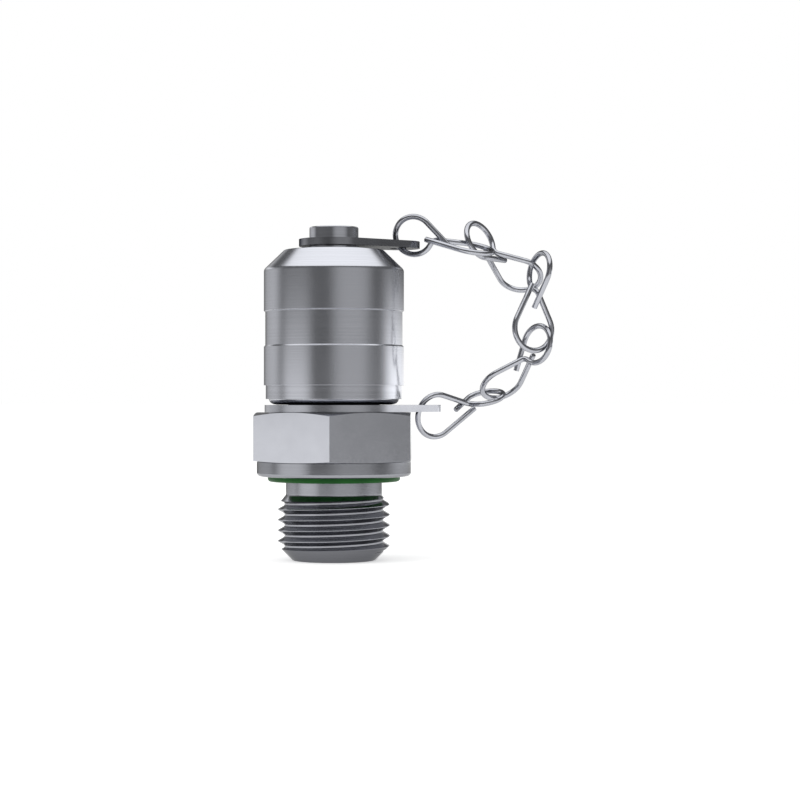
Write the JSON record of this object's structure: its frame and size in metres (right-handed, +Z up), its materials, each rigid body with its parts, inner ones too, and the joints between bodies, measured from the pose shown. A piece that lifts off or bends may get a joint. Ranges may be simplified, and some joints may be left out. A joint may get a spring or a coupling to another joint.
{
  "type": "test point coupling",
  "caption": "Stainless steel hydraulic test point coupling: threaded stud with a soft seal, hexagon, check valve and a screwed protective cap tied on by a wire chain.",
  "frame": {"origin": "centre of the stud's end face, in the mouth of its bore", "axes": "+Z up the coupling's axis from the stud to the cap, a corner of the hexagon towards -Y, the chain at 26 degrees from +X towards +Y"},
  "size_m": [0.0429, 0.0274, 0.0497],
  "materials": {
    "body_steel": "turned stainless steel",
    "cap_steel": "fine turned stainless steel",
    "rivet_steel": "turned stainless steel",
    "strap_steel": "blanked stainless sheet",
    "chain_wire": "bright drawn stainless wire",
    "spring_steel": "spring steel",
    "green_rubber": "smooth green seal rubber",
    "black_rubber": "smooth black seal rubber"
  },
  "bodies": {
    "coupling": {"coupling_body": "body_steel", "stud_seal_ring": "green_rubber", "valve_seat": "body_steel", "seat_o_ring": "black_rubber", "probe_seal": "black_rubber", "spring_retainer": "body_steel", "retaining_ring": "spring_steel"},
    "poppet": {"valve_poppet": "body_steel", "poppet_seal": "black_rubber", "valve_spring": "spring_steel"},
    "rivet": {"cap_rivet": "rivet_steel"},
    "cap": {"cap": "cap_steel", "cap_o_ring": "black_rubber"},
    "upper_strap": {"upper_strap": "strap_steel"},
    "lower_strap": {"lower_strap": "strap_steel"},
    "link_1": {"chain_link_1": "chain_wire"},
    "link_2": {"chain_link_2": "chain_wire"},
    "link_3": {"chain_link_3": "chain_wire"},
    "link_4": {"chain_link_4": "chain_wire"},
    "link_5": {"chain_link_5": "chain_wire"}
  },
  "joints": [
    {"name": "valve_stroke", "type": "slide", "parent": "coupling", "child": "poppet", "axis": [0, 0, -1], "range_m": [0, 0.0015], "stiffness_N_per_m": 300, "springref_m": -0.005, "deforming": ["valve_spring"]},
    {"name": "cap_rise", "type": "slide", "parent": "coupling", "child": "rivet", "axis": [0, 0, 1], "range_m": [0, 0.014]},
    {"name": "cap_turn", "type": "hinge", "parent": "rivet", "child": "cap", "pos_m": [0, 0, 0.04425], "axis": [0, 0, 1], "range_deg": [0, 2521]},
    {"name": "upper_strap_turn", "type": "hinge", "parent": "rivet", "child": "upper_strap", "pos_m": [0, 0, 0.0448], "axis": [0, 0, 1], "continuous": true},
    {"name": "lower_strap_turn", "type": "hinge", "parent": "coupling", "child": "lower_strap", "pos_m": [0, 0, 0.02115], "axis": [0, 0, 1], "continuous": true},
    {"name": "link_1_swing", "type": "hinge", "parent": "lower_strap", "child": "link_1", "pos_m": [0.01222, 0.00596, 0.02165], "axis": [0.4384, -0.8988, 0], "range_deg": [0, 25.91]},
    {"name": "link_2_swing", "type": "hinge", "parent": "link_1", "child": "link_2", "pos_m": [0.02318, 0.0137, 0.02367], "axis": [0.4384, -0.8988, 0], "range_deg": [-21.41, 0]},
    {"name": "link_3_swing", "type": "hinge", "parent": "link_2", "child": "link_3", "pos_m": [0.03113, 0.00622, 0.0316], "axis": [0.4384, -0.8988, 0], "range_deg": [-5.41, 0]},
    {"name": "link_4_swing", "type": "hinge", "parent": "link_3", "child": "link_4", "pos_m": [0.02891, 0.00856, 0.04289], "axis": [0.4384, -0.8988, 0], "range_deg": [-24.61, 0]},
    {"name": "link_5_swing", "type": "hinge", "parent": "link_4", "child": "link_5", "pos_m": [0.01917, 0.00443, 0.04571], "axis": [0.4384, -0.8988, 0], "range_deg": [0, 2.91]}
  ],
  "couplings": [
    {"joint": "cap_turn", "follows": "cap_rise", "rad_per_m": 3141.6},
    {"joint": "upper_strap_turn", "follows": "lower_strap_turn", "ratio": 1},
    {"joint": "link_1_swing", "follows": "cap_rise", "rad_per_m": 32.289},
    {"joint": "link_2_swing", "follows": "cap_rise", "rad_per_m": -26.679},
    {"joint": "link_3_swing", "follows": "cap_rise", "rad_per_m": -6.732},
    {"joint": "link_4_swing", "follows": "cap_rise", "rad_per_m": -30.668},
    {"joint": "link_5_swing", "follows": "cap_rise", "rad_per_m": 3.6153}
  ]
}
